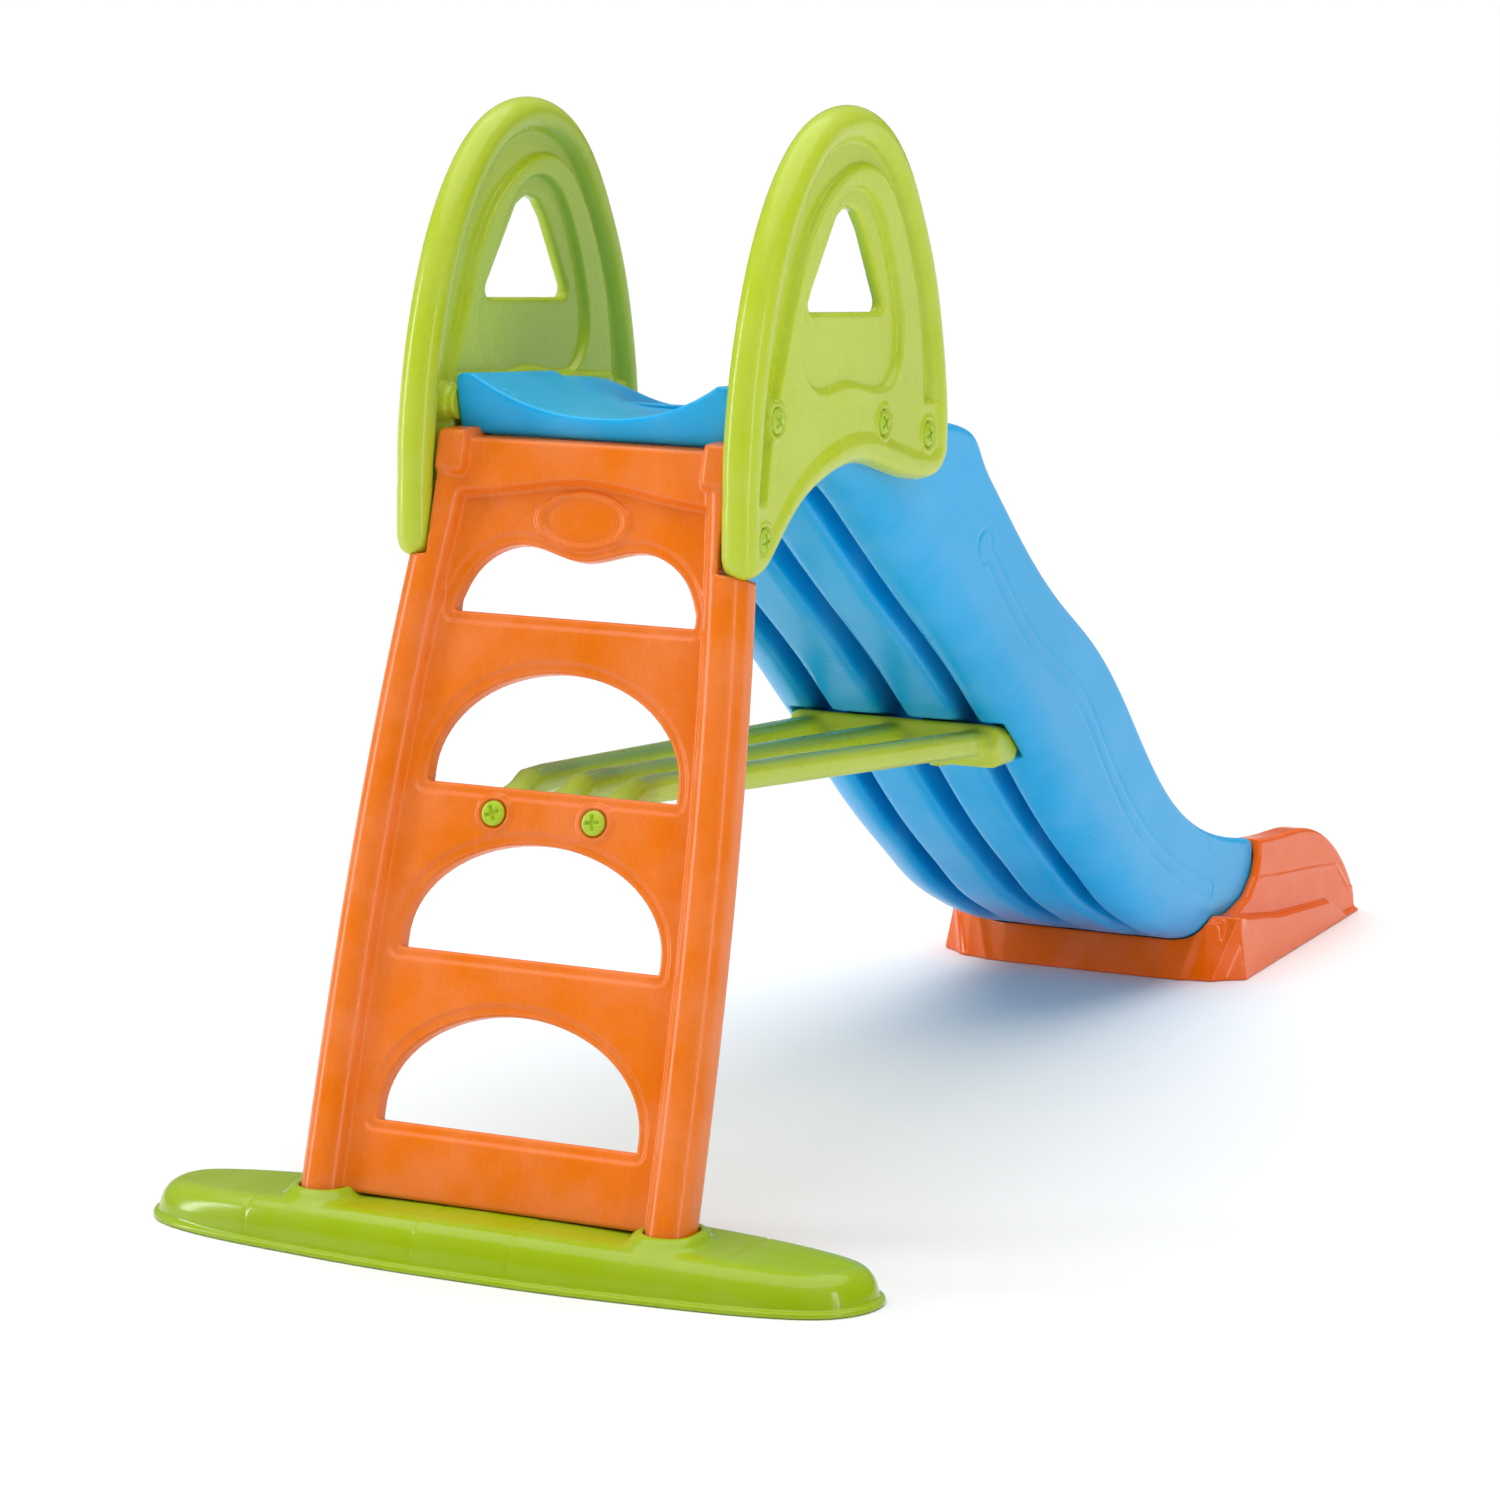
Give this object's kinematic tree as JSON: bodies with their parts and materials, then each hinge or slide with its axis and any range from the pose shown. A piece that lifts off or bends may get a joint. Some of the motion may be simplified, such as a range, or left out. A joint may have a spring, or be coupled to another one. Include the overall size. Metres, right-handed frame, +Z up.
{
  "type": "children's slide",
  "caption": "Free-standing straight slide with a leaning ladder, arched handrails, a ribbed chute, a brace and a floor-level exit piece.",
  "frame": {"origin": "on the floor at the centre of the slide's outer box, on its middle plane", "axes": "+X from the ladder to the exit, +Y to the left of a child climbing up, +Z up"},
  "size_m": [2.365, 0.9504, 1.3],
  "materials": {
    "orange_satin": "satin blow-moulded polyethylene with faint vertical grain",
    "orange_gloss": "glossy moulded plastic",
    "blue_satin": "satin blow-moulded polyethylene",
    "green_satin": "satin blow-moulded polyethylene",
    "green_gloss": "glossy moulded plastic",
    "green_screw": "glossy moulded plastic"
  },
  "bodies": {
    "root": {"foot_bar": "green_gloss", "ladder": "orange_satin", "seat": "blue_satin", "handrail_left": "green_satin", "handrail_right": "green_satin", "chute": "blue_satin", "brace": "green_satin", "exit_piece": "orange_gloss", "handrail_screws": "green_screw", "ladder_screws": "green_screw", "foot_screws": "green_screw", "brace_screws": "green_screw", "exit_screws": "green_screw"}
  },
  "joints": []
}
